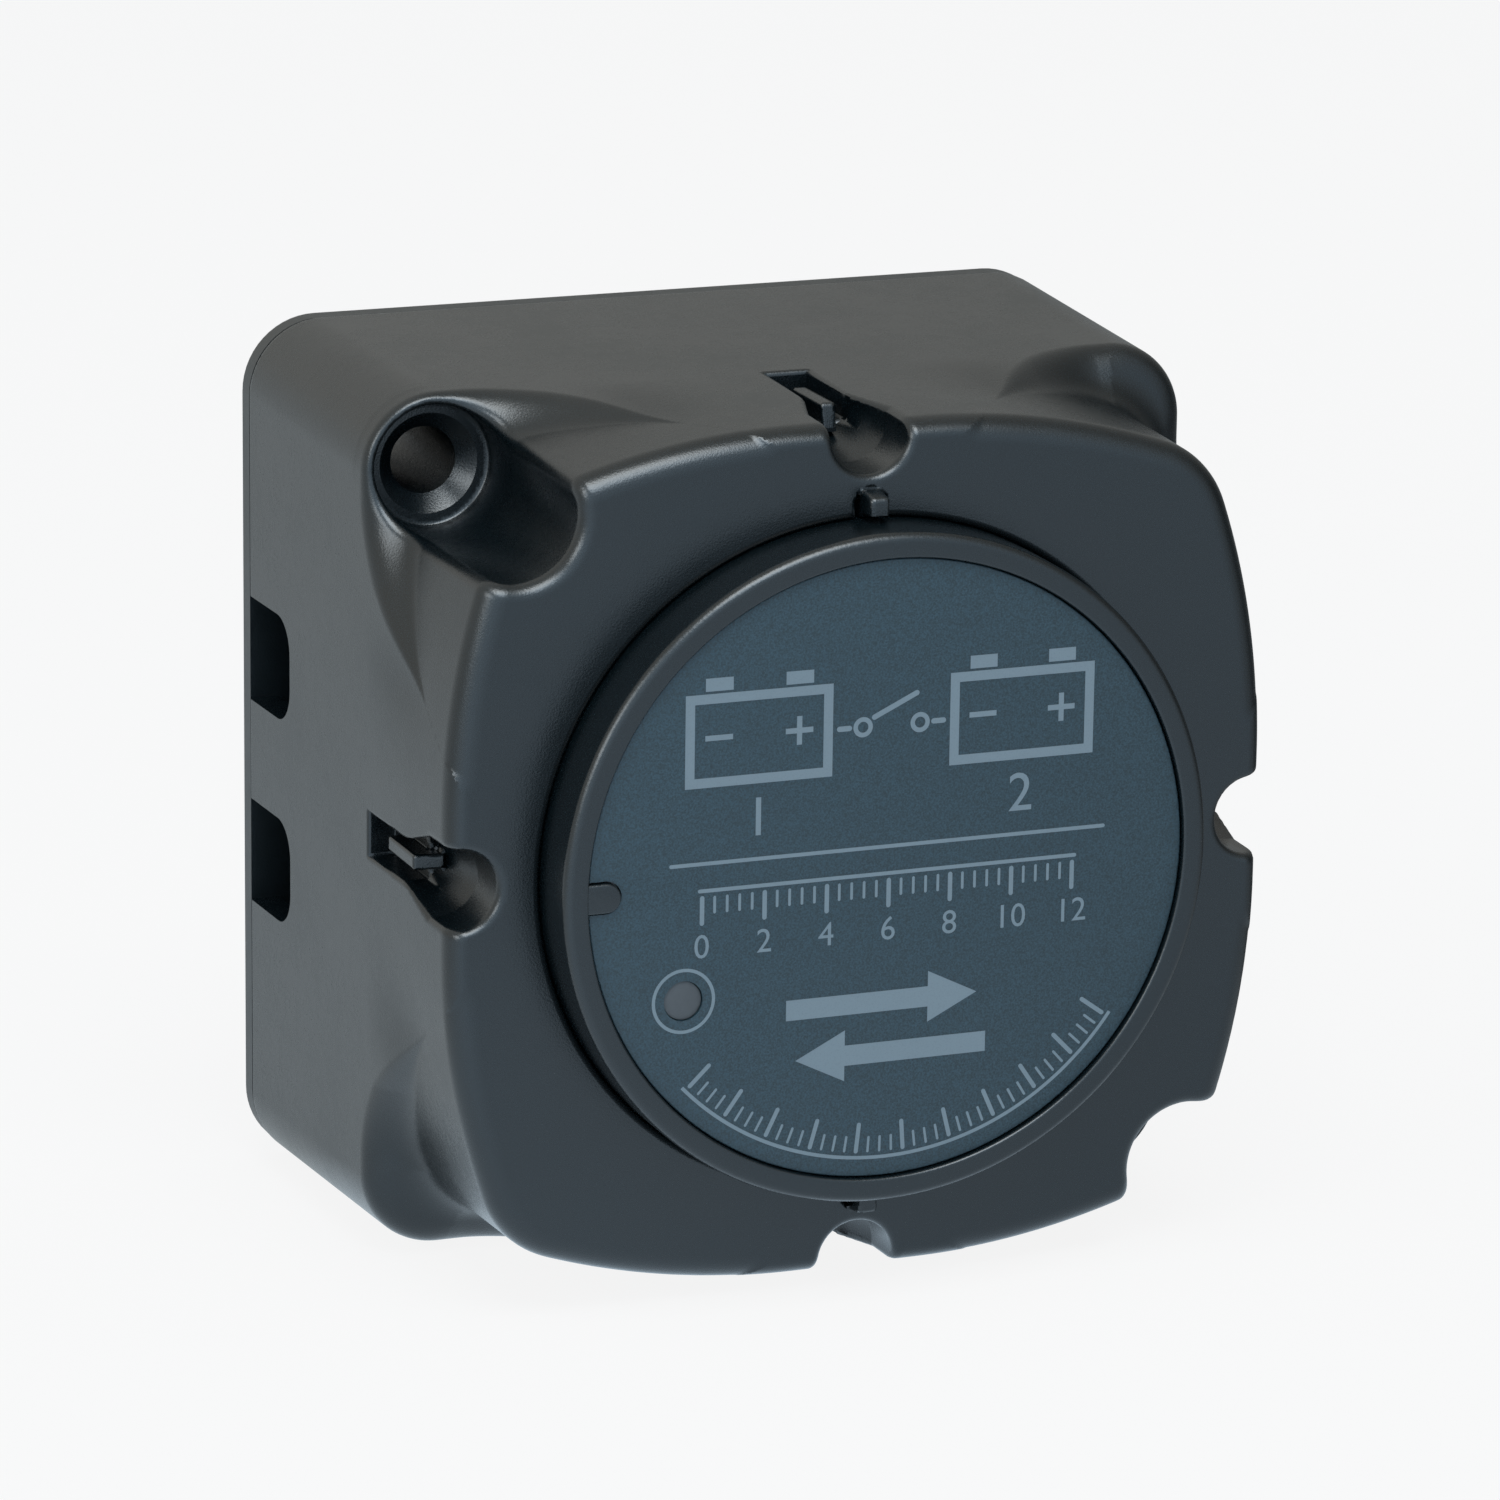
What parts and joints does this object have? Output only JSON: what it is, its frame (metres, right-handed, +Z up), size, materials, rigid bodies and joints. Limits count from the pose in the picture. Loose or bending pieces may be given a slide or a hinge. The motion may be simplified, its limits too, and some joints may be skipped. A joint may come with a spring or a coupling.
{
  "type": "battery isolator relay",
  "caption": "Square moulded relay housing with a round front cap, two screw wells, side cable cutouts and rear terminal studs, joining two battery circuits through a plunger contactor.",
  "frame": {"origin": "centre of the rear mounting face", "axes": "+Y out of the mounting face to the rear, so the front cap faces -Y; +Z up and +X to the right as seen from the front"},
  "size_m": [0.0688, 0.051, 0.0688],
  "materials": {
    "housing_black": "fine spark-textured moulded plastic, satin",
    "cover_black": "satin moulded plastic",
    "cap_black": "satin moulded plastic",
    "label_slate": "printed label film, fine matt grain",
    "window_smoke": "translucent light pipe",
    "board_green": "solder mask over glass laminate",
    "led_red": "clear tinted epoxy",
    "chip_black": "moulded epoxy",
    "capacitor_yellow": "moulded epoxy",
    "brass": "turned brass",
    "zinc_steel": "zinc plated steel",
    "tinned": "tinned copper wire",
    "bobbin_cream": "glass-filled moulding",
    "winding_tape": "enamelled copper under tape",
    "frame_steel": "soft iron, nickel plated",
    "spring_steel": "spring steel",
    "insulator_red": "moulded thermoset",
    "copper": "bare copper",
    "silver_contact": "silver alloy, matt",
    "stud_tinned": "tin plated brass",
    "base_phenolic": "phenolic moulding",
    "gasket_black": "nitrile rubber"
  },
  "bodies": {
    "body": {"housing": "housing_black", "rear_cover": "cover_black", "round_cap": "cap_black", "label_disc": "label_slate", "led_window": "window_smoke", "circuit_board": "board_green", "status_led": "led_red", "controller_chip": "chip_black", "driver_transistor": "chip_black", "board_capacitor": "capacitor_yellow", "board_resistors": "chip_black", "board_standoffs": "brass", "board_screws": "zinc_steel", "sense_posts": "brass", "coil_pins": "tinned", "coil_bobbin": "bobbin_cream", "coil_winding": "winding_tape", "yoke_frame": "frame_steel", "end_plate": "frame_steel", "fixed_core": "frame_steel", "return_spring": "spring_steel", "fixed_contacts": "silver_contact", "input_stud": "stud_tinned", "output_stud": "stud_tinned", "terminal_base": "base_phenolic", "base_gasket": "gasket_black", "base_screws": "zinc_steel", "frame_screws": "zinc_steel", "stud_washers": "zinc_steel", "stud_spring_washers": "spring_steel", "stud_nuts": "zinc_steel", "cover_screws": "zinc_steel"},
    "armature": {"plunger": "frame_steel", "plunger_rod": "zinc_steel", "spring_collar": "zinc_steel", "contact_spring": "spring_steel", "retaining_clip": "spring_steel"},
    "bridge": {"rod_insulator": "insulator_red", "contact_bridge": "copper", "moving_contacts": "silver_contact"}
  },
  "joints": [
    {"name": "plunger_slide", "type": "slide", "parent": "body", "child": "armature", "axis": [0, 1, 0], "range_m": [0, 0.003], "stiffness_N_per_m": 600, "springref_m": -0.002, "deforming": ["return_spring"]},
    {"name": "bridge_give", "type": "slide", "parent": "armature", "child": "bridge", "axis": [0, -1, 0], "range_m": [0, 0.0006], "deforming": ["contact_spring"]}
  ],
  "couplings": [
    {"joint": "bridge_give", "follows": "plunger_slide", "ratio": 0.2}
  ]
}
